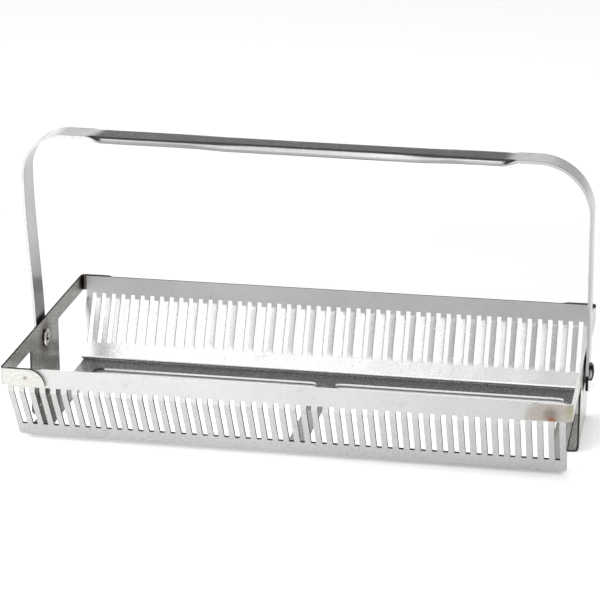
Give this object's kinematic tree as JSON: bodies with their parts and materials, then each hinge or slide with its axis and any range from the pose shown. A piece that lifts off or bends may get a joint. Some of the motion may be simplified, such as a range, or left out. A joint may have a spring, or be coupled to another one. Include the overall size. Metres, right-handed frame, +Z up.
{
  "type": "slide staining rack",
  "caption": "Slotted sheet-steel tray that carries microscope slides on edge, with end plates as feet and a swinging bail handle.",
  "frame": {"origin": "on the surface the rack stands on, under the middle of the tray", "axes": "+X along the tray towards the right end plate, +Y across the tray towards its back wall, +Z up"},
  "size_m": [0.1708, 0.089, 0.0851],
  "materials": {
    "tray_steel": "polished stainless sheet",
    "plate_steel_left": "polished stainless sheet",
    "plate_steel_right": "polished stainless sheet",
    "strap_steel": "satin stainless strap",
    "rivet_steel_left": "bright stainless",
    "rivet_steel_right": "bright stainless",
    "washer_steel_left": "bright stainless",
    "washer_steel_right": "bright stainless"
  },
  "bodies": {
    "rack": {"tray": "tray_steel", "end_plate_left": "plate_steel_left", "end_plate_right": "plate_steel_right", "rivet_left": "rivet_steel_left", "rivet_right": "rivet_steel_right", "washer_left": "washer_steel_left", "washer_right": "washer_steel_right"},
    "handle": {"handle": "strap_steel"}
  },
  "joints": [
    {"name": "handle_swing", "type": "hinge", "parent": "rack", "child": "handle", "pos_m": [0, 0, 0.0198], "axis": [1, 0, 0], "range_deg": [-102, 102]}
  ]
}
